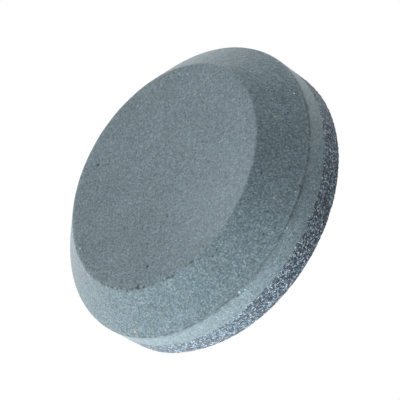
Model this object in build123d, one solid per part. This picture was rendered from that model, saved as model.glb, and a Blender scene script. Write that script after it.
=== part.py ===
from build123d import *
import os
from math import atan2, cos, pi, sin, tan

# Round two-grit sharpening stone, held in the hand to sharpen axes and garden tools.
#
# Two pressed and fired abrasive discs, one medium and one coarse, are joined at mid height by the thin seam
# where their mixes keyed into each other.  Each disc has a flat working face, a conical bevel that clears the
# fingers, and a straight rim.  The punch that pressed the bevel met the wall of the die at the rounded
# shoulder, and left a shallow ring groove along its crown.
#
# Frame: millimetres, +Z up along the stone's axis, origin at the centre of the coarse face, on which it rests.

# Driving dimensions, in millimetres
rim_diameter = 76.2  # across the straight rim, a 3 inch stone
face_diameter = 58.5  # across each flat working face, to the sharp corner with the bevel
bevel_height = 8.1  # drop from a face to the corner of the rim
medium_disc_height = 13.5  # medium grit, on top
coarse_disc_height = 13.5  # coarse grit, underneath
seam_height = 0.5  # zone where the two mixes keyed into each other
face_edge_radius = 1.0  # soft arris round each working face
shoulder_radius = 1.5  # between bevel and rim
groove_width = 0.6  # ring left where punch and die met, measured across the shoulder
groove_depth = 0.15  # below the shoulder's crown

# Places worked out from them
rim_radius = rim_diameter / 2
face_radius = face_diameter / 2
bevel_slope = atan2(bevel_height, rim_radius - face_radius)
seam_base = coarse_disc_height
medium_base = seam_base + seam_height


def pressed_blank(height):
    """One disc, standing on its joining face at z = 0, with its working face up at z = height."""
    with BuildSketch(Plane.XZ) as outline:
        with BuildLine():
            FilletPolyline(
                (0, height),
                (face_radius, height),
                (rim_radius, height - bevel_height),
                (rim_radius, 0),
                radius=[face_edge_radius, shoulder_radius],
            )
            Polyline((rim_radius, 0), (0, 0), (0, height))
        make_face()
    return revolve(outline.sketch, Axis.Z)


def parting_ring(height):
    """The ring that cuts the groove, centred on the crown of the shoulder's arc."""
    ring_radius = (groove_width**2 / 4 + groove_depth**2) / (2 * groove_depth)
    crown_angle = (pi / 2 - bevel_slope) / 2
    arc_centre_r = rim_radius - shoulder_radius
    arc_centre_z = height - bevel_height - shoulder_radius * tan(crown_angle)
    stand_off = shoulder_radius - groove_depth + ring_radius
    return Pos(0, 0, arc_centre_z + stand_off * sin(crown_angle)) * Torus(
        arc_centre_r + stand_off * cos(crown_angle), ring_radius
    )


def grit_disc(height):
    """One finished disc, on its joining face."""
    return pressed_blank(height) - parting_ring(height)


def medium_grit_disc():
    return Pos(0, 0, medium_base) * grit_disc(medium_disc_height)


def coarse_grit_disc():
    """Turned over, so that its working face is the one the stone stands on."""
    return Pos(0, 0, coarse_disc_height) * Rot(X=180) * grit_disc(coarse_disc_height)


def fused_seam():
    return Pos(0, 0, seam_base) * Cylinder(
        rim_radius, seam_height, align=(Align.CENTER, Align.CENTER, Align.MIN)
    )


os.makedirs("parts", exist_ok=True)
export_step(medium_grit_disc(), "parts/medium_grit_disc.step")
export_step(coarse_grit_disc(), "parts/coarse_grit_disc.step")
export_step(fused_seam(), "parts/fused_seam.step")
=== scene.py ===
from math import atan2, cos, degrees, hypot, pi, radians, sin, tan

import bmesh
import bpy
from mathutils import Matrix, Vector, noise


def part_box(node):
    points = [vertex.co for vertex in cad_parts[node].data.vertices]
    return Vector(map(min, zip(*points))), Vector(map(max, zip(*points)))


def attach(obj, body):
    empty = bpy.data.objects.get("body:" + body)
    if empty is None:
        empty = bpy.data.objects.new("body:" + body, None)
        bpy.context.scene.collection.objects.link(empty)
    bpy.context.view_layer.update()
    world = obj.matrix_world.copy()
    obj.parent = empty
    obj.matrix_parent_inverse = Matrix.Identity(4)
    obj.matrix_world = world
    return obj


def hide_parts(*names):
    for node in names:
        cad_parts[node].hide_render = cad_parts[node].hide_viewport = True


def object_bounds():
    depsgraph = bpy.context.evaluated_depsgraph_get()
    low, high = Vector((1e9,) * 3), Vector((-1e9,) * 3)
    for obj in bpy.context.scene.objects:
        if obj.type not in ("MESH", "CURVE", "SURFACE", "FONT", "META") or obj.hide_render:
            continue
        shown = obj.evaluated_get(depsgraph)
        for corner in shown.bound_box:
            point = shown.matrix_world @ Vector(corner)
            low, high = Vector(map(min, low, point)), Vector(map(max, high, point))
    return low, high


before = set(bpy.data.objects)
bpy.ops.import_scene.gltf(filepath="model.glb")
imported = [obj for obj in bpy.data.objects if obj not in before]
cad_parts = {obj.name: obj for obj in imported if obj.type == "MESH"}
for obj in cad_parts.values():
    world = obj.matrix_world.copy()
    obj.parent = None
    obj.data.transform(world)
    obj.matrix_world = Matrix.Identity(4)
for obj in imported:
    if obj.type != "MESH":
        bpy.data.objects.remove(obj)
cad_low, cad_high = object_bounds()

# A round two-grit sharpening stone, held in the hand.  Two pressed and fired abrasive discs, the medium one
# on top and the coarse one underneath, are fused at mid height by the thin seam where their mixes keyed
# together.  Lengths are in metres in the CAD's frame: +Z up the stone's axis, the coarse face at z = 0.

MM = 0.001

# Places from the CAD frame
medium_low, medium_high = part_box("medium_grit_disc")
coarse_low, coarse_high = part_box("coarse_grit_disc")
seam_low, seam_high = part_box("fused_seam")
RIM_RADIUS = cad_high.x
SEAM_MIDDLE = (seam_low.z + seam_high.z) / 2

# The pressed shape of each disc, the same as the CAD's
FACE_RADIUS = 29.25 * MM  # to the sharp corner between face and bevel
BEVEL_DROP = 8.1 * MM
BEVEL_SLOPE = atan2(BEVEL_DROP, RIM_RADIUS - FACE_RADIUS)
ARRIS_SETBACK = 1.0 * MM * tan(BEVEL_SLOPE / 2)
SHOULDER_ROUND = 1.5 * MM
CROWN_ANGLE = (pi / 2 - BEVEL_SLOPE) / 2
SHOULDER_SETBACK = SHOULDER_ROUND * tan(CROWN_ANGLE)
GROOVE_HALF_WIDTH = 0.36 * MM  # a little past the CAD's, because the worn dent eases out
GROOVE_DEPTH = 0.15 * MM
GROOVE_RADIUS = RIM_RADIUS - SHOULDER_ROUND * (1 - cos(CROWN_ANGLE))
GROOVE_INSET = BEVEL_DROP + SHOULDER_SETBACK - SHOULDER_ROUND * sin(CROWN_ANGLE)  # below the face

# How finely the surface is cut up, so that grains and chips are real shape
TURN_STEPS = 720
WEDGES = 24
FACE_PITCH = 0.45 * MM
SIDE_PITCH = 0.33 * MM
ARRIS_CUTS = 5
SHOULDER_CUTS = 12
WELD = 0.001 * MM  # vertices nearer than this are one
LEVEL = 0.01 * MM  # heights nearer than this are the same

# Grain sizes.  The real grit is finer, about 0.1 and 0.3 mm across, and would not show at arm's length, so
# it is drawn coarser, as the clots of grains that the eye picks out.
MEDIUM_GRAIN = 0.33 * MM
COARSE_GRAIN = 0.40 * MM


# ---- Shape ------------------------------------------------------------------------------------------


def straight_run(bm, start, end, pitch):
    """Cuts the profile's edge between two places into lengths of about pitch."""
    edge = min(bm.edges, key=lambda e: sum(min((v.co - p).length for v in e.verts) for p in (start, end)))
    cuts = round((start - end).length / pitch) - 1
    bmesh.ops.subdivide_edges(bm, edges=[edge], cuts=cuts)


def round_corner(bm, corner, setback, segments):
    """Rounds one corner of the profile, and returns its two ends, the one nearer the axis first."""
    made = bmesh.ops.bevel(
        bm,
        geom=[corner],
        offset=setback,
        offset_type="OFFSET",
        segments=segments,
        profile=0.5,
        affect="VERTICES",
        material=-1,
    )
    ends = [v for v in made["verts"] if len([e for e in v.link_edges if e not in made["edges"]]) == 1]
    return sorted((v.co.copy() for v in ends), key=lambda place: place.x)


def turn_profile(bm):
    """Turns the profile once round the axis: first one wedge, then copies of it, joined up."""
    bmesh.ops.spin(
        bm,
        geom=bm.verts[:] + bm.edges[:],
        cent=(0, 0, 0),
        axis=(0, 0, 1),
        angle=2 * pi / WEDGES,
        steps=TURN_STEPS // WEDGES,
    )
    bmesh.ops.spin(
        bm,
        geom=bm.verts[:] + bm.edges[:] + bm.faces[:],
        cent=(0, 0, 0),
        axis=(0, 0, 1),
        angle=2 * pi * (WEDGES - 1) / WEDGES,
        steps=WEDGES - 1,
        use_duplicate=True,
    )
    bmesh.ops.remove_doubles(bm, verts=bm.verts[:], dist=WELD)
    bmesh.ops.recalc_face_normals(bm, faces=bm.faces[:])


def turned_disc(face_z, joint_z):
    """One grit disc as a closed shell turned from its profile, with its working face at face_z."""
    down = 1 if face_z > joint_z else -1
    corner_z = face_z - down * BEVEL_DROP
    centre = Vector((0, 0, face_z))
    arris = Vector((FACE_RADIUS, 0, face_z))
    shoulder = Vector((RIM_RADIUS, 0, corner_z))
    foot = Vector((RIM_RADIUS, 0, joint_z))
    bm = bmesh.new()
    verts = [bm.verts.new(place) for place in (centre, arris, shoulder, foot, (0, 0, joint_z))]
    for pair in zip(verts, verts[1:]):
        bm.edges.new(pair)
    face_end, bevel_start = round_corner(bm, verts[1], ARRIS_SETBACK, ARRIS_CUTS)
    bevel_end, rim_start = round_corner(bm, verts[2], SHOULDER_SETBACK, SHOULDER_CUTS)
    straight_run(bm, centre, face_end, FACE_PITCH)
    straight_run(bm, bevel_start, bevel_end, SIDE_PITCH)
    straight_run(bm, rim_start, foot, SIDE_PITCH)
    turn_profile(bm)
    return bm


def turned_band(low_z, high_z):
    """The seam: a solid disc as thin as the zone where the mixes keyed together."""
    bm = bmesh.new()
    low = Vector((RIM_RADIUS, 0, low_z))
    high = Vector((RIM_RADIUS, 0, high_z))
    verts = [bm.verts.new(place) for place in ((0, 0, low_z), low, high, (0, 0, high_z))]
    for pair in zip(verts, verts[1:]):
        bm.edges.new(pair)
    straight_run(bm, low, high, SIDE_PITCH / 2)
    turn_profile(bm)
    return bm


# ---- Wear, chips and pulled-out grains --------------------------------------------------------------
#
# A turn is in degrees round from +X.  The wear functions return how far the surface moves out, in metres,
# and two amounts for the materials to read: a dark one, dirt in chips and crumbs together with painted
# shade in and beside the groove, in pits and crevices and on some stretches, and a pale one, stone dust on
# worn edges together with painted light on the lit side of the face, on a lip and on lit and glancing
# stretches of rim.

ON_FACE = 0.2 * MM  # a place this near the height of a working face belongs to it
HOLLOW_ENDS = 0.1 * MM  # how far down the arris the hollow of the worn face reaches
HOLLOW_DEPTH = 0.30 * MM
HOLLOW_RADIUS = 27 * MM
CRUMBLED_WIDTH = 0.42 * MM  # dark crumbled line along the arris
ARRIS_WEAR = 1.0 * MM  # the arris is chipped and rubbed this far from its corner
CORNER_WEAR = 1.3 * MM  # so is the coarse disc's corner between bevel and rim, this far
CORNER_LOSS = 0.45 * MM
CHIP_DEPTH = 0.30 * MM
MEDIUM_GRAIN_RISE = 0.006 * MM
COARSE_GRAIN_RISE = 0.07 * MM
CREVICE_DEPTH = 0.05 * MM
PULLED_DEPTH = 0.16 * MM
PULLED_SHARE = 0.07  # of the coarse grains, which have come out

# Stretches of the turn, the middle and the reach to either side.  Use has worn the groove and the coarse
# corner and crumbled and dirtied the arris and its chips; the rest carry painted light and painted shade.
GROOVE_RUBBED = [(-55, 16), (30, 26), (150, 22)]
LIP_HIGHLIT = (-15, 60)
ARRIS_CRUMBLED = (-107, 56)
CHIPS_DIRTY = (-95, 60)
SHOULDER_SHADED = (-88, 40)
RIM_UNHIGHLIT = (-20, 50)
RIM_GLANCING_HIGHLIGHT = (50, 60)
RIM_SHADED = (-24, 24)
CORNER_WORN = (-90, 24)
COARSE_LIT_SIDE = (-98, 62)
COARSE_GLANCING_HIGHLIGHT = (50, 68)
COARSE_SHADED = (-24, 22)


def spot(turn, radius, height):
    """A place on the stone: degrees round from +X, then radius and height in millimetres."""
    return Vector((radius * cos(radians(turn)), radius * sin(radians(turn)), height)) * MM


def falloff(distance, reach):
    """1 at no distance, easing to 0 at reach."""
    return max(0.0, 1 - (distance / reach) ** 2) ** 2


def within(turn, stretch):
    """1 in the middle of a stretch of the turn, easing to 0 at its ends."""
    middle, reach = stretch
    return falloff(turn - middle, reach)


def waves(place, length):
    """Smooth unevenness from -1 to 1 that changes over about this length."""
    return noise.noise(place / length)


def from_axis(place):
    return hypot(place.x, place.y)


def to_arris(place, face_z):
    """How far this is from the sharp corner between a working face and its bevel."""
    return hypot(from_axis(place) - FACE_RADIUS, place.z - face_z)


def hollow(place):
    """How deep use has worn the working face here: a very shallow bowl."""
    return HOLLOW_DEPTH * max(0.0, 1 - (from_axis(place) / HOLLOW_RADIUS) ** 2)


# Where painted light makes the medium face palest, and where painted shade makes it darkest
FACE_LIT_SIDE = (spot(-38, 27, 27.5), 24 * MM)
FACE_SHADED_SIDE = (spot(-140, 27, 27.5), 34 * MM)

# Holes where a grain or a clot of grains came out: place, width and depth in millimetres
PITS = [
    (spot(-80, 12.7, 27.5), 0.60, 0.30),
    (spot(-99, 24.0, 27.5), 0.60, 0.30),
    (spot(-103, 28.6, 27.4), 0.60, 0.25),
    (spot(-110, 9.5, 27.5), 0.50, 0.12),
    (spot(-110, 29.6, 27.2), 0.50, 0.20),
    (spot(-107, 29.2, 27.3), 0.45, 0.15),
    (spot(-116, 31.0, 25.9), 0.32, 0.15),
    (spot(-122, 32.7, 24.4), 0.32, 0.15),
    (spot(49, 37.6, 19.9), 0.60, 0.15),
    (spot(-21, 31.1, 25.8), 0.40, 0.15),
    (spot(-23, 31.6, 25.3), 0.32, 0.10),
    (spot(-22, 37.8, 19.7), 0.35, 0.15),
    (spot(63, 38.1, 18.3), 0.90, 0.25),
    (spot(-65.5, 38.0, 18.6), 0.60, 0.08),
    (spot(151, 24.2, 27.5), 0.80, 0.30),
    (spot(118, 36.9, 20.4), 1.00, 0.30),
]


def inwards(place):
    """The way into the medium disc: down from its face, aslant from its bevel, level from its rim."""
    side = Vector((place.x, place.y, 0)).normalized() if place.z < medium_high.z - ON_FACE else Vector()
    top = Vector((0, 0, 1)) if place.z > medium_high.z - BEVEL_DROP else Vector()
    return -(side + top).normalized()


def groove_depth(turn, place, face_z):
    """How deep the punch's ring groove is here, from 0 to 1, with its breaks and its worn stretches."""
    across = hypot(from_axis(place) - GROOVE_RADIUS, abs(place.z - face_z) - GROOVE_INSET)
    here = falloff(across, GROOVE_HALF_WIDTH)
    if here == 0:
        return 0.0
    rubbed = min(1, sum(within(turn, stretch) for stretch in GROOVE_RUBBED))
    ragged = 0.62 + 1.5 * waves(place, 0.9 * MM) + 0.7 * waves(place, 5 * MM)
    return here * min(1.2, max(0.05, ragged)) * (1 - 0.75 * rubbed)


def lip_nearness(turn, place):
    """A painted highlight on the lip just above the medium disc's groove."""
    aside = from_axis(place) - GROOVE_RADIUS + 0.42 * MM
    above = place.z - medium_high.z + GROOVE_INSET - 0.36 * MM
    return falloff(hypot(aside, above), 0.28 * MM) * within(turn, LIP_HIGHLIT)


def medium_wear(place, turn):
    """Medium grit: pressed smooth, with a hollowed face, a crumbling arris, and painted shade in and
    beside the groove, with painted light and shade on the face and the rim.
    """
    unevenness = 0.05 * MM * waves(place, 11 * MM) + 0.02 * MM * waves(place, 3.1 * MM)
    grains = MEDIUM_GRAIN_RISE * noise.cell(place / MEDIUM_GRAIN)
    groove = groove_depth(turn, place, medium_high.z)
    arris = to_arris(place, medium_high.z)
    edge = falloff(arris, ARRIS_WEAR)
    chips = edge * max(0.0, waves(place, 0.8 * MM) - 0.15)
    crumbs = min(1.0, max(0.0, 0.5 + 1.7 * waves(place, 0.8 * MM)))
    crumbled = falloff(arris, CRUMBLED_WIDTH) * crumbs * within(turn, ARRIS_CRUMBLED)
    move = unevenness + grains - GROOVE_DEPTH * groove - CHIP_DEPTH * chips
    # Painted shade in the groove, and dark dirt in the chips and along the crumbled arris
    grime_and_shade = 0.32 * groove + 2.0 * chips * within(turn, CHIPS_DIRTY) + 1.3 * crumbled
    # Pale dust on the worn arris, and a painted highlight on the lip above the groove
    dust_and_light = edge * (0.19 + 0.19 * waves(place, 2.5 * MM)) + 0.9 * lip_nearness(turn, place)
    # The worn face: hollowed, a little paler all over, with painted light growing towards +X and round one
    # spot and painted shade round another
    if place.z > medium_high.z - HOLLOW_ENDS:
        lit_middle, lit_reach = FACE_LIT_SIDE
        shaded_middle, shaded_reach = FACE_SHADED_SIDE
        move -= hollow(place)
        dust_and_light += 0.27 + 0.12 * place.x / FACE_RADIUS + 0.55 * falloff((place - lit_middle).length, lit_reach)
        grime_and_shade += 0.02 + 0.10 * falloff((place - shaded_middle).length, shaded_reach)
    below_groove = medium_high.z - GROOVE_INSET - place.z
    if below_groove <= 0:
        # Painted shade in a thin band along the bevel's side of the groove
        grime_and_shade += 0.14 * falloff(below_groove + 0.25 * MM, 0.65 * MM) * within(turn, SHOULDER_SHADED)
    else:
        # The rim: painted shade just under the groove, painted light away from turn -20 and most round
        # turn 50, and painted shade round turn -24
        shade_mottle = 0.7 + 0.8 * waves(place, 4 * MM)
        glancing_highlight = 0.56 * (1 - within(turn, RIM_UNHIGHLIT)) + 0.8 * within(turn, RIM_GLANCING_HIGHLIGHT)
        # Painted light on the rim, growing down from the groove
        dust_and_light += glancing_highlight * min(1.0, below_groove / (1.2 * MM))
        grime_and_shade += 0.30 * shade_mottle * max(0.0, 1 - below_groove / (2.2 * MM))
        grime_and_shade += 0.11 * within(turn, RIM_SHADED)
    # Pits sink the surface, with painted shade in them
    for pit, width, depth in PITS:
        hole = falloff((place - pit).length, width * MM)
        move -= depth * MM * hole
        grime_and_shade += 0.35 * hole
    return move, grime_and_shade, dust_and_light


def coarse_wear(place, turn):
    """Coarse grit: each grain stands out or sits back, and crevices run between them."""
    gaps, grains = noise.voronoi(place / COARSE_GRAIN)
    stand = COARSE_GRAIN_RISE * (noise.cell(grains[0] * 7.3) - 0.5)  # 7.3 and 3.7 only part the draws
    came_out = noise.cell(grains[0] * 3.7 + Vector((5, 5, 5))) > 1 - PULLED_SHARE
    pulled = falloff(gaps[0], 0.75) if came_out else 0.0
    crevice = falloff(gaps[1] - gaps[0], 0.25)
    unevenness = 0.06 * MM * waves(place, 3.3 * MM)
    groove = groove_depth(turn, place, coarse_low.z)
    edge = falloff(to_arris(place, coarse_low.z), ARRIS_WEAR)
    corner = falloff(hypot(from_axis(place) - RIM_RADIUS, place.z - BEVEL_DROP), CORNER_WEAR)
    worn = corner * CORNER_LOSS * within(turn, CORNER_WORN)
    chips = max(edge, corner) * max(0.0, waves(place, 1.3 * MM) - 0.1)
    move = stand - CREVICE_DEPTH * crevice - PULLED_DEPTH * pulled + unevenness
    move -= worn + CHIP_DEPTH * chips + GROOVE_DEPTH * groove
    if place.z < coarse_low.z + ON_FACE:
        move = min(0.0, move)  # use has rubbed the working face flat, so the stone stands on it
    # Painted shade in the crevices, the holes of pulled grains and the groove, and round turn -24
    grime_and_shade = 0.35 * crevice + 0.8 * pulled + 0.5 * groove + 0.16 * within(turn, COARSE_SHADED)
    # Pale dust on the worn edge and corner, painted light round turn -98, and a painted highlight round
    # turn 50
    dust_and_light = 0.11 * max(edge, corner) + 0.72 * within(turn, COARSE_LIT_SIDE) + within(turn, COARSE_GLANCING_HIGHLIGHT)
    return move, grime_and_shade, dust_and_light


def wear_down(bm, joints):
    """Moves every vertex by its wear, and keeps the dark amount, dirt and painted shade, and the pale
    amount, dust and painted light, for the materials to read.
    """
    grime_and_shade_layer = bm.verts.layers.float.new("grime_and_shade")
    dust_and_light_layer = bm.verts.layers.float.new("dust_and_light")
    bm.normal_update()
    moved = []
    for v in bm.verts:
        at_joint = any(abs(v.co.z - z) < LEVEL for z in joints)
        if at_joint and from_axis(v.co) < RIM_RADIUS - LEVEL:
            continue
        out = Vector((v.co.x, v.co.y, 0)).normalized() if at_joint else v.normal
        turn = degrees(atan2(v.co.y, v.co.x))
        # Across the seam one mix's wear goes over into the other's
        keyed = min(1.0, max(0.0, (v.co.z - seam_low.z) / (seam_high.z - seam_low.z)))
        medium = medium_wear(v.co, turn) if keyed > 0 else (0, 0, 0)
        coarse = coarse_wear(v.co, turn) if keyed < 1 else (0, 0, 0)
        move, grime_and_shade, dust_and_light = (keyed * m + (1 - keyed) * c for m, c in zip(medium, coarse))
        v[grime_and_shade_layer] = min(1.0, grime_and_shade)
        v[dust_and_light_layer] = min(1.0, dust_and_light)
        moved.append((v, v.co + out * move))
    for v, place in moved:
        v.co = place
    for edge in bm.edges:
        if all(any(abs(v.co.z - z) < LEVEL for z in joints) for v in edge.verts):
            edge.smooth = False


def as_piece(bm, name, material, node):
    """Turns a finished bmesh into the piece that stands for one CAD node."""
    for face in bm.faces:
        face.smooth = True
    mesh = bpy.data.meshes.new(name)
    bm.to_mesh(mesh)
    bm.free()
    mesh.materials.append(material)
    piece = bpy.data.objects.new(name, mesh)
    bpy.context.scene.collection.objects.link(piece)
    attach(piece, "root")
    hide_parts(node)


# ---- Materials --------------------------------------------------------------------------------------


def linear(hex_colour):
    """An sRGB hex colour as a linear one."""
    parts = [int(hex_colour[i : i + 2], 16) / 255 for i in (1, 3, 5)]
    return [c / 12.92 if c <= 0.04045 else ((c + 0.055) / 1.055) ** 2.4 for c in parts] + [1]


def add(tree, kind, inputs=None, stops=None, **settings):
    """Adds a node, with its properties, its input values or links, and a colour ramp's stops."""
    node = tree.nodes.new("ShaderNode" + kind)
    for name, value in settings.items():
        setattr(node, name, value)
    for name, value in (inputs or {}).items():
        if isinstance(value, bpy.types.NodeSocket):
            tree.links.new(value, node.inputs[name])
        else:
            node.inputs[name].default_value = value
    for i, (at, hex_colour) in enumerate(stops or []):
        stop = node.color_ramp.elements[i] if i < 2 else node.color_ramp.elements.new(at)
        stop.position = at
        stop.color = linear(hex_colour)
    return node


def new_material(name):
    material = bpy.data.materials.new(name)
    material.use_nodes = True
    material.node_tree.nodes.clear()
    return material


# Single grains that differ from their mix and are big enough to find again: place, width in mm, colour
MEDIUM_FLECKS = [
    (spot(37, 32.1, 24.9), 0.55, "#9c9778"),
    (spot(17, 36.7, 20.7), 0.42, "#d3d4d6"),
    (spot(6, 32.5, 24.6), 0.55, "#b3ab88"),
    (spot(2, 34.8, 22.4), 0.30, "#8c8672"),
    (spot(-29, 34.3, 22.8), 0.42, "#a3a79a"),
    (spot(-112, 37.1, 20.3), 0.50, "#d49a6c"),
    (spot(-37, 38.1, 18.8), 0.40, "#c3cdd0"),
    (spot(-64.2, 38.0, 19.0), 0.50, "#b3c4ca"),
    (spot(-62.4, 38.1, 18.4), 0.42, "#a6b9c1"),
    (spot(43, 20.7, 27.5), 0.42, "#a3a294"),
    (spot(47, 21.1, 27.5), 0.34, "#a39c85"),
]
COARSE_FLECKS = [
    (spot(-68, 38.1, 10.5), 0.55, "#9f9176"),
    (spot(-42, 38.1, 11.1), 0.60, "#b9b8ae"),
]
# Painted shade inside the pits, each centred half its depth down
PIT_SHADE = "#151b1f"
MEDIUM_PIT_SHADE = [(pit + inwards(pit) * 0.5 * depth * MM, width, PIT_SHADE) for pit, width, depth in PITS]
FLECK_RIM, FLECK_BODY = 0.62, 0.38  # a fleck fades out between these shares of its width

# Scales and strengths of the two mixes
STIR_SIZE = 0.35 * MM  # whorls of this size stir the grains out of clean cells
STIR_REACH = 0.32 * MM
CLOUD_SIZE = 9 * MM  # faint paler and darker patches where the mix was uneven
ODD_SPACING = 2.0 * MM  # one odd grain, at most, in every such cell of the medium mix
ODD_RIM, ODD_BODY = 0.12, 0.07  # an odd grain fades out between these shares of its cell
GRAIN_SPREAD, GRAIN_LEVEL = 0.82, -0.05  # how much one medium grain's shade differs from the next
CLOUD_SPREAD = 0.28
MEDIUM_TINT, COARSE_TINT = 0.50, 0.25  # how strongly grains are tinted
SMALL_GRAIN = 0.3 * MM  # the coarse grit's real size, which breaks up the shade of its clots
BIG_SHARE, SMALL_SHARE = 0.82, 0.18
PORE_RIM, PORE_BODY = 0.17, 0.03  # a pore fades out between these distances from the crack
# the painted shade in the pores
PORE_SHADE, PORE_DARKNESS = "#121920", 0.80
GLASSY_FROM, GLASSY_TO = 0.80, 0.90  # the share of coarse grains below which all are dull
KEYING_WANDER = 4 * MM
KEYING_RISE = 0.9 * MM  # how far the border between the mixes wanders up and down
KEYING_RAGGED = -0.5 * MM  # how far single grains may cross it
BORDER = SEAM_MIDDLE + 0.20 * MM
BUMP_HEIGHT = 0.10 * MM
MEDIUM_BUMP = 0.22  # how much of it the finer mix has
MEDIUM_DOME = -0.6  # a medium grain falls away from its middle
COARSE_CREST = 0.3  # a coarse grain is flat from this far in from its cracks
COARSE_STEP = 0.5  # how much higher one coarse grain stands than the next
MATT_GRIT = 0.88
DULL_GRAIN, GLASSY_GRAIN = 0.85, 0.38  # roughness of the coarse grains, most dull and a few glassy
# Dirt and painted shade darken the mixes, and pale dust and painted light lighten them
DIRT_AND_SHADE = "#2c2f2f"
DUST_AND_LIGHT = "#4f575b"
DUST_AND_LIGHT_STRENGTH = 0.9


def jostled(tree, place):
    """The place, shifted a little here and there, so that no grain is a clean cell."""
    stir = add(tree, "TexNoise", {"Vector": place, "Scale": 1 / STIR_SIZE, "Detail": 1.0})
    centred = add(tree, "VectorMath", {0: stir.outputs["Color"], 1: (0.5, 0.5, 0.5)}, operation="SUBTRACT")
    shift = add(tree, "VectorMath", {0: centred.outputs[0], 3: STIR_REACH}, operation="SCALE")
    return add(tree, "VectorMath", {0: place, 1: shift.outputs[0]}, operation="ADD").outputs[0]


def with_flecks(tree, place, colour, flecks):
    """Lays single odd grains and the painted shade of pits over a mix, those on the face sunk with its
    hollow.
    """
    for at, width, fleck_colour in flecks:
        if at.z > medium_high.z - LEVEL:
            at = at - Vector((0, 0, hollow(at)))
        away = add(tree, "VectorMath", {0: place, 1: at}, operation="DISTANCE")
        inside = add(
            tree,
            "MapRange",
            {
                "Value": away.outputs["Value"],
                "From Min": width * MM * FLECK_RIM,
                "From Max": width * MM * FLECK_BODY,
            },
        )
        colour = add(
            tree,
            "Mix",
            {"Factor": inside.outputs[0], "A": colour, "B": linear(fleck_colour)},
            data_type="RGBA",
        ).outputs["Result"]
    return colour


def medium_mix(tree, place, stirred):
    """The medium mix: fine slate-grey grains in faint clouds, with rare tan, white and dark ones."""
    grain = add(tree, "TexVoronoi", {"Vector": stirred, "Scale": 1 / MEDIUM_GRAIN})
    chance = add(tree, "SeparateColor", {"Color": grain.outputs["Color"]})
    clouds = add(tree, "TexNoise", {"Vector": place, "Scale": 1 / CLOUD_SIZE, "Detail": 2.0})
    # Every grain has its own shade, and the clouds lift or lower a whole patch of them
    shade = add(
        tree,
        "Math",
        {0: chance.outputs["Red"], 1: GRAIN_SPREAD, 2: GRAIN_LEVEL},
        operation="MULTIPLY_ADD",
    )
    clouded = add(
        tree,
        "Math",
        {0: clouds.outputs[0], 1: CLOUD_SPREAD, 2: shade.outputs[0]},
        operation="MULTIPLY_ADD",
    )
    tone = add(
        tree,
        "ValToRGB",
        {"Fac": clouded.outputs[0]},
        stops=[
            (0.0, "#3c4b53"),
            (1.0, "#b4c2c4"),
            (0.07, "#57686f"),
            (0.25, "#677a81"),
            (0.5, "#72868d"),
            (0.75, "#7e9299"),
            (0.93, "#92a5ab"),
        ],
    )
    # A few grains are bluish or tan, and most are neutral
    tint = add(
        tree,
        "ValToRGB",
        {"Fac": chance.outputs["Green"]},
        stops=[(0.0, "#6086a8"), (1.0, "#9c8668"), (0.3, "#7e8183"), (0.75, "#7e8183")],
    )
    tinted = add(
        tree,
        "Mix",
        {"Factor": MEDIUM_TINT, "A": tone.outputs["Color"], "B": tint.outputs["Color"]},
        data_type="RGBA",
        blend_type="SOFT_LIGHT",
    )
    # Odd grains: about a third of the cells have a dark one, and another third a tan or white one
    odd = add(tree, "TexVoronoi", {"Vector": stirred, "Scale": 1 / ODD_SPACING})
    odd_chance = add(tree, "SeparateColor", {"Color": odd.outputs["Color"]})
    odd_size = add(
        tree,
        "MapRange",
        {"Value": odd.outputs["Distance"], "From Min": ODD_RIM, "From Max": ODD_BODY},
    )
    odd_here = add(
        tree,
        "ValToRGB",
        {"Fac": odd_chance.outputs["Red"]},
        stops=[(0.0, "#ffffff"), (0.7, "#ffffff"), (0.32, "#000000")],
    )
    odd_here.color_ramp.interpolation = "CONSTANT"
    odd_colour = add(
        tree,
        "ValToRGB",
        {"Fac": odd_chance.outputs["Red"]},
        stops=[(0.0, "#2a3136"), (0.95, "#c4cacc"), (0.5, "#8f8b76"), (0.85, "#a3907c")],
    )
    odd_colour.color_ramp.interpolation = "CONSTANT"
    odd_amount = add(
        tree,
        "Math",
        {0: odd_size.outputs[0], 1: odd_here.outputs["Color"]},
        operation="MULTIPLY",
    )
    mixed = add(
        tree,
        "Mix",
        {"Factor": odd_amount.outputs[0], "A": tinted.outputs["Result"], "B": odd_colour.outputs["Color"]},
        data_type="RGBA",
    )
    colour = with_flecks(tree, stirred, mixed.outputs["Result"], MEDIUM_FLECKS + MEDIUM_PIT_SHADE)
    # Each grain is domed, and stands higher or lower than the next
    dome = add(
        tree,
        "Math",
        {0: grain.outputs["Distance"], 1: MEDIUM_DOME, 2: chance.outputs["Blue"]},
        operation="MULTIPLY_ADD",
    )
    return colour, dome.outputs[0]


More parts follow.
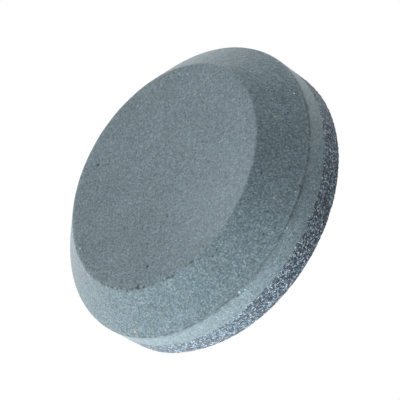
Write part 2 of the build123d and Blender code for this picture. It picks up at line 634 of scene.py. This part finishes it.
def coarse_mix(tree, place, stirred):
    """The coarse mix: near-black, slate and pale grains with painted shade in the pores, some grains
    glassy.
    """
    grain = add(tree, "TexVoronoi", {"Vector": stirred, "Scale": 1 / COARSE_GRAIN})
    chance = add(tree, "SeparateColor", {"Color": grain.outputs["Color"]})
    small = add(tree, "TexVoronoi", {"Vector": stirred, "Scale": 1 / SMALL_GRAIN})
    small_chance = add(tree, "SeparateColor", {"Color": small.outputs["Color"]})
    weighed = add(tree, "Math", {0: small_chance.outputs["Red"], 1: SMALL_SHARE}, operation="MULTIPLY")
    both = add(
        tree,
        "Math",
        {0: chance.outputs["Red"], 1: BIG_SHARE, 2: weighed.outputs[0]},
        operation="MULTIPLY_ADD",
    )
    tone = add(
        tree,
        "ValToRGB",
        {"Fac": both.outputs[0]},
        stops=[
            (0.08, "#0c1622"),
            (0.90, "#cddde8"),
            (0.25, "#233748"),
            (0.43, "#4a6479"),
            (0.58, "#7797b0"),
            (0.75, "#a0bdd2"),
        ],
    )
    tint = add(
        tree,
        "ValToRGB",
        {"Fac": chance.outputs["Green"]},
        stops=[(0.0, "#6a80a0"), (1.0, "#a88a60"), (0.4, "#7c8084"), (0.86, "#808080")],
    )
    tinted = add(
        tree,
        "Mix",
        {"Factor": COARSE_TINT, "A": tone.outputs["Color"], "B": tint.outputs["Color"]},
        data_type="RGBA",
        blend_type="SOFT_LIGHT",
    )
    # Painted shade in the pores between the grains
    crack = add(
        tree,
        "TexVoronoi",
        {"Vector": stirred, "Scale": 1 / COARSE_GRAIN},
        feature="DISTANCE_TO_EDGE",
    )
    pore = add(
        tree,
        "MapRange",
        {
            "Value": crack.outputs["Distance"],
            "From Min": PORE_RIM,
            "From Max": PORE_BODY,
            "To Max": PORE_DARKNESS,
        },
    )
    pored = add(
        tree,
        "Mix",
        {"Factor": pore.outputs[0], "A": tinted.outputs["Result"], "B": linear(PORE_SHADE)},
        data_type="RGBA",
    )
    colour = with_flecks(tree, stirred, pored.outputs["Result"], COARSE_FLECKS)
    # Each grain rises from its cracks to a flat top, some higher than others, and the highest are glassy
    rise = add(tree, "MapRange", {"Value": crack.outputs["Distance"], "From Max": COARSE_CREST})
    height = add(
        tree,
        "Math",
        {0: chance.outputs["Blue"], 1: COARSE_STEP, 2: rise.outputs[0]},
        operation="MULTIPLY_ADD",
    )
    glassy = add(
        tree,
        "MapRange",
        {
            "Value": chance.outputs["Blue"],
            "From Min": GLASSY_FROM,
            "From Max": GLASSY_TO,
            "To Min": DULL_GRAIN,
            "To Max": GLASSY_GRAIN,
        },
    )
    # A grain is coarse mix where its middle lies under a border that wanders up and down round the seam
    grain_place = add(tree, "SeparateXYZ", {"Vector": grain.outputs["Position"]})
    lift = add(
        tree,
        "Math",
        {0: chance.outputs["Blue"], 1: KEYING_RAGGED, 2: grain_place.outputs["Z"]},
        operation="MULTIPLY_ADD",
    )
    wander = add(tree, "TexNoise", {"Vector": place, "Scale": 1 / KEYING_WANDER, "Detail": 1.0})
    border = add(
        tree,
        "Math",
        {0: wander.outputs[0], 1: KEYING_RISE, 2: lift.outputs[0]},
        operation="MULTIPLY_ADD",
    )
    below = add(tree, "Math", {0: border.outputs[0], 1: BORDER}, operation="LESS_THAN")
    return colour, height.outputs[0], glassy.outputs[0], below.outputs[0]


def fired_grit(name):
    """Vitrified bonded grit: hard grains in a little glass, pressed in a die and fired.

    It is dry and matt, with a broken surface that scatters light evenly and no gloss but a coarse grain's.
    The mixes keyed together at the seam, so every piece holds both: a coarse grain whose middle lies under
    the seam is coarse mix, and the rest is medium.
    """
    material = new_material(name)
    tree = material.node_tree
    place = add(tree, "TexCoord").outputs["Object"]
    stirred = jostled(tree, place)
    medium_colour, medium_height = medium_mix(tree, place, stirred)
    coarse_colour, coarse_height, glassy, below = coarse_mix(tree, place, stirred)
    mixed = add(
        tree,
        "Mix",
        {"Factor": below, "A": medium_colour, "B": coarse_colour},
        data_type="RGBA",
    )
    # Dirt in the chips and painted shade in the groove, pits and crevices darken the colour;
    # pale dust on worn edges and painted light on lit and glancing sides lighten it
    grime_and_shade = add(tree, "Attribute", attribute_name="grime_and_shade")
    dirtied_and_shaded = add(
        tree,
        "Mix",
        {"Factor": grime_and_shade.outputs["Fac"], "A": mixed.outputs["Result"], "B": linear(DIRT_AND_SHADE)},
        data_type="RGBA",
    )
    dust_and_light = add(tree, "Attribute", attribute_name="dust_and_light")
    dust_and_light_amount = add(tree, "Math", {0: dust_and_light.outputs["Fac"], 1: DUST_AND_LIGHT_STRENGTH}, operation="MULTIPLY")
    rubbed = add(
        tree,
        "Mix",
        {"Factor": dust_and_light_amount.outputs[0], "A": dirtied_and_shaded.outputs["Result"], "B": linear(DUST_AND_LIGHT)},
        data_type="RGBA",
        blend_type="SCREEN",
    )
    roughness = add(tree, "Mix", {"Factor": below, "A": MATT_GRIT, "B": glassy}, data_type="FLOAT")
    medium_step = add(tree, "Math", {0: medium_height, 1: MEDIUM_BUMP}, operation="MULTIPLY")
    height = add(
        tree,
        "Mix",
        {"Factor": below, "A": medium_step.outputs[0], "B": coarse_height},
        data_type="FLOAT",
    )
    bump = add(
        tree,
        "Bump",
        {"Height": height.outputs["Result"], "Distance": BUMP_HEIGHT, "Strength": 0.8},
    )
    # The bond is a glass, and the broken, dusty surface brightens a little at a glancing angle
    shader = add(
        tree,
        "BsdfPrincipled",
        {
            "Base Color": rubbed.outputs["Result"],
            "Roughness": roughness.outputs["Result"],
            "Normal": bump.outputs["Normal"],
            "IOR": 1.55,
            "Diffuse Roughness": 0.5,
            "Sheen Weight": 0.25,
            "Sheen Roughness": 0.4,
        },
    )
    add(tree, "OutputMaterial", {"Surface": shader.outputs["BSDF"]})
    return material


# ---- The pieces -------------------------------------------------------------------------------------

# Medium grit, fired: fine and even, so that it reads as smooth matt slate grey with faint clouds
medium_grit = fired_grit("vitrified_medium_grit")
# Coarse grit, fired: near-black, slate and pale grains side by side, so that it sparkles and looks rough
coarse_grit = fired_grit("vitrified_coarse_grit")
# Both mixes, keyed together and fired as one: a ragged border of grains instead of a joint line
fused_grit = fired_grit("fused_grit_mix")

medium = turned_disc(medium_high.z, medium_low.z)
wear_down(medium, (medium_low.z,))
as_piece(medium, "medium_grit_stone", medium_grit, "medium_grit_disc")

coarse = turned_disc(coarse_low.z, coarse_high.z)
wear_down(coarse, (coarse_high.z,))
as_piece(coarse, "coarse_grit_stone", coarse_grit, "coarse_grit_disc")

seam = turned_band(seam_low.z, seam_high.z)
wear_down(seam, (seam_low.z, seam_high.z))
as_piece(seam, "fused_seam_band", fused_grit, "fused_seam")


# ---- Floor, light and camera ------------------------------------------------------------------------
#
# A tent of white paper.  The camera sees it plain white, and only its light differs from place to place.

FLOOR_GLOW = 1.80
FLOOR_GLOW_NEAR = 0.15  # the paper's glow is turned down close to the stone, a painted shadow
NEAR_RADIUS = 22 * MM
FAR_RADIUS = 90 * MM
FLOOR_HALF_SIZE = 3

# A dim tent all round, with one broad bright side
TENT_GLOW = 0.02
BRIGHT_WAY = (-0.73, 0.45, 0.52)
BRIGHT_TIGHTNESS = 2.0
BRIGHT_GLOW = 3.3

# Small lamps: name, place and size in millimetres, watts
LAMPS = [
    ("low_side_lamp", (20, -117, 20), 60, 0.078),
    ("right_hand_lamp", (90, 39, 126), 60, 0.020),
    ("front_lamp", (-60, -160, 60), 80, 0.134),
]

CAMERA_AZIMUTH = radians(46.113)  # from -Y towards +X
CAMERA_ELEVATION = radians(39.906)
CAMERA_ROLL = radians(-58.32)
CAMERA_AIM = Vector((0.05, -0.50, 13.29)) * MM
CAMERA_DISTANCE = 391.55 * MM
CAMERA_LENS = 145.53  # millimetres, on a 36 mm sensor


def seen_white(tree, light, output):
    """Sends plain white to the camera, and the light worked out to everything else."""
    seen = add(tree, "LightPath").outputs["Is Camera Ray"]
    strength = add(tree, "Mix", {"Factor": seen, "A": light, "B": 1.0}, data_type="FLOAT")
    kind = "Emission" if output == "OutputMaterial" else "Background"
    glow = add(tree, kind, {"Color": (1, 1, 1, 1), "Strength": strength.outputs["Result"]})
    add(tree, output, {"Surface": glow.outputs[0]})


# White paper glowing by itself, plain white to the camera, so it has no grain or edge of its own to see
paper = new_material("white_paper_sweep")
paper_tree = paper.node_tree
paper_place = add(paper_tree, "TexCoord").outputs["Object"]
from_middle = add(paper_tree, "VectorMath", {0: paper_place}, operation="LENGTH")
shaded = add(
    paper_tree,
    "MapRange",
    {
        "Value": from_middle.outputs["Value"],
        "From Min": NEAR_RADIUS,
        "From Max": FAR_RADIUS,
        "To Min": FLOOR_GLOW_NEAR,
        "To Max": FLOOR_GLOW,
    },
    interpolation_type="SMOOTHSTEP",
)
seen_white(paper_tree, shaded.outputs[0], "OutputMaterial")

floor_bm = bmesh.new()
bmesh.ops.create_grid(floor_bm, x_segments=1, y_segments=1, size=FLOOR_HALF_SIZE)
floor_mesh = bpy.data.meshes.new("floor")
floor_bm.to_mesh(floor_mesh)
floor_bm.free()
floor_mesh.materials.append(paper)
floor = bpy.data.objects.new("floor", floor_mesh)
bpy.context.scene.collection.objects.link(floor)

world = bpy.data.worlds.new("white_tent")
bpy.context.scene.world = world
world.use_nodes = True
sky = world.node_tree
sky.nodes.clear()
way = add(sky, "TexCoord").outputs["Generated"]
along = add(sky, "VectorMath", {0: way, 1: Vector(BRIGHT_WAY).normalized()}, operation="DOT_PRODUCT")
front = add(sky, "Math", {0: along.outputs["Value"], 1: 0.0}, operation="MAXIMUM")
lobe = add(sky, "Math", {0: front.outputs[0], 1: BRIGHT_TIGHTNESS}, operation="POWER")
tent = add(sky, "Math", {0: lobe.outputs[0], 1: BRIGHT_GLOW, 2: TENT_GLOW}, operation="MULTIPLY_ADD")
seen_white(sky, tent.outputs[0], "OutputWorld")

middle = Vector((0, 0, SEAM_MIDDLE))
for name, place, size, watts in LAMPS:
    data = bpy.data.lights.new(name, "AREA")
    data.shape = "DISK"
    data.size = size * MM
    data.energy = watts
    lamp = bpy.data.objects.new(name, data)
    bpy.context.scene.collection.objects.link(lamp)
    lamp.visible_camera = False
    at = Vector(place) * MM
    aim = (middle - at).to_track_quat("-Z", "Y").to_matrix().to_4x4()
    lamp.matrix_world = Matrix.Translation(at) @ aim

camera_data = bpy.data.cameras.new("camera")
camera_data.sensor_width = 36
camera_data.lens = CAMERA_LENS
camera = bpy.data.objects.new("camera", camera_data)
bpy.context.scene.collection.objects.link(camera)
bpy.context.scene.camera = camera
back = Vector(
    (
        sin(CAMERA_AZIMUTH) * cos(CAMERA_ELEVATION),
        -cos(CAMERA_AZIMUTH) * cos(CAMERA_ELEVATION),
        sin(CAMERA_ELEVATION),
    )
)
level = (-back).to_track_quat("-Z", "Y").to_matrix()
rolled = level @ Matrix.Rotation(CAMERA_ROLL, 3, "Z")
camera.matrix_world = Matrix.Translation(CAMERA_AIM + back * CAMERA_DISTANCE) @ rolled.to_4x4()

bpy.context.scene.view_settings.view_transform = "Standard"
